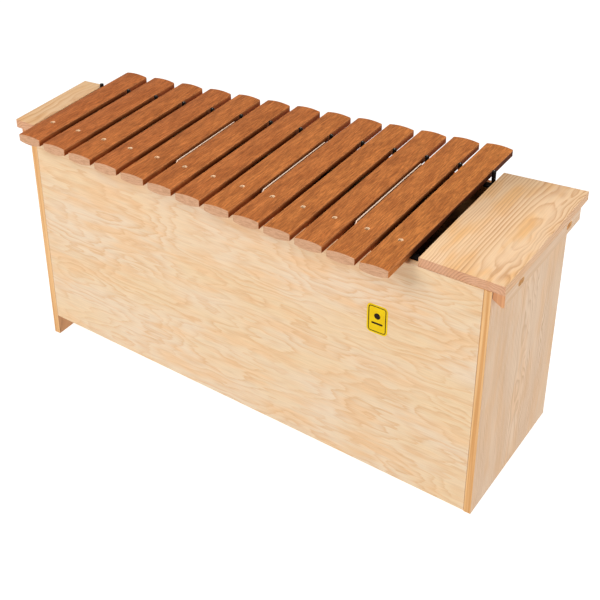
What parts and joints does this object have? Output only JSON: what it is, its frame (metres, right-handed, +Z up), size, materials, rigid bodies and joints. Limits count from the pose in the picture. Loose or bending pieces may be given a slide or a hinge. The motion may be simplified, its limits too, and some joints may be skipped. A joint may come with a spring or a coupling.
{
  "type": "bass xylophone",
  "caption": "Bass xylophone: hardwood bars rest on a tapered pine box resonator, with a cover board and a grip cleat at each end.",
  "frame": {"origin": "on the floor, under the middle of the whole instrument's bounding box", "axes": "+X towards the lowest bar, +Y towards the player, +Z up"},
  "size_m": [1.1174, 0.5196, 0.527],
  "materials": {
    "pine_board": "satin lacquered pine",
    "pine_strip": "satin lacquered pine, end and edge grain",
    "bar_wood": "oiled reddish-brown hardwood",
    "black_rubber": "matt",
    "steel": "brushed"
  },
  "bodies": {
    "root": {"front_panel": "pine_board", "back_panel": "pine_board", "treble_end_panel": "pine_board", "bass_end_panel": "pine_board", "floor_board": "pine_board", "partition_1": "pine_board", "partition_2": "pine_board", "partition_3": "pine_board", "treble_cover": "pine_board", "bass_cover": "pine_board", "treble_grip_cleat": "pine_strip", "bass_grip_cleat": "pine_strip", "treble_cleat_screw_1": "steel", "treble_cleat_screw_2": "steel", "bass_cleat_screw_1": "steel", "bass_cleat_screw_2": "steel", "pin_rail": "pine_strip", "peg_rail": "pine_strip", "front_cushion": "black_rubber", "back_cushion": "black_rubber", "pin_01": "steel", "pin_02": "steel", "pin_03": "steel", "pin_04": "steel", "pin_05": "steel", "pin_06": "steel", "pin_07": "steel", "pin_08": "steel", "pin_09": "steel", "pin_10": "steel", "pin_11": "steel", "pin_12": "steel", "pin_13": "steel", "peg_01": "black_rubber", "peg_02": "black_rubber", "peg_03": "black_rubber", "peg_04": "black_rubber", "peg_05": "black_rubber", "peg_06": "black_rubber", "peg_07": "black_rubber", "peg_08": "black_rubber", "peg_09": "black_rubber", "peg_10": "black_rubber", "peg_11": "black_rubber", "peg_12": "black_rubber", "peg_13": "black_rubber", "peg_14": "black_rubber"},
    "bar_01": {"bar_01": "bar_wood"},
    "bar_02": {"bar_02": "bar_wood"},
    "bar_03": {"bar_03": "bar_wood"},
    "bar_04": {"bar_04": "bar_wood"},
    "bar_05": {"bar_05": "bar_wood"},
    "bar_06": {"bar_06": "bar_wood"},
    "bar_07": {"bar_07": "bar_wood"},
    "bar_08": {"bar_08": "bar_wood"},
    "bar_09": {"bar_09": "bar_wood"},
    "bar_10": {"bar_10": "bar_wood"},
    "bar_11": {"bar_11": "bar_wood"},
    "bar_12": {"bar_12": "bar_wood"},
    "bar_13": {"bar_13": "bar_wood"}
  },
  "joints": [
    {"name": "lift_bar_01", "type": "slide", "parent": "root", "child": "bar_01", "axis": [0, 0, 1], "range_m": [0, 0.06]},
    {"name": "lift_bar_02", "type": "slide", "parent": "root", "child": "bar_02", "axis": [0, 0, 1], "range_m": [0, 0.06]},
    {"name": "lift_bar_03", "type": "slide", "parent": "root", "child": "bar_03", "axis": [0, 0, 1], "range_m": [0, 0.06]},
    {"name": "lift_bar_04", "type": "slide", "parent": "root", "child": "bar_04", "axis": [0, 0, 1], "range_m": [0, 0.06]},
    {"name": "lift_bar_05", "type": "slide", "parent": "root", "child": "bar_05", "axis": [0, 0, 1], "range_m": [0, 0.06]},
    {"name": "lift_bar_06", "type": "slide", "parent": "root", "child": "bar_06", "axis": [0, 0, 1], "range_m": [0, 0.06]},
    {"name": "lift_bar_07", "type": "slide", "parent": "root", "child": "bar_07", "axis": [0, 0, 1], "range_m": [0, 0.06]},
    {"name": "lift_bar_08", "type": "slide", "parent": "root", "child": "bar_08", "axis": [0, 0, 1], "range_m": [0, 0.06]},
    {"name": "lift_bar_09", "type": "slide", "parent": "root", "child": "bar_09", "axis": [0, 0, 1], "range_m": [0, 0.06]},
    {"name": "lift_bar_10", "type": "slide", "parent": "root", "child": "bar_10", "axis": [0, 0, 1], "range_m": [0, 0.06]},
    {"name": "lift_bar_11", "type": "slide", "parent": "root", "child": "bar_11", "axis": [0, 0, 1], "range_m": [0, 0.06]},
    {"name": "lift_bar_12", "type": "slide", "parent": "root", "child": "bar_12", "axis": [0, 0, 1], "range_m": [0, 0.06]},
    {"name": "lift_bar_13", "type": "slide", "parent": "root", "child": "bar_13", "axis": [0, 0, 1], "range_m": [0, 0.06]}
  ]
}
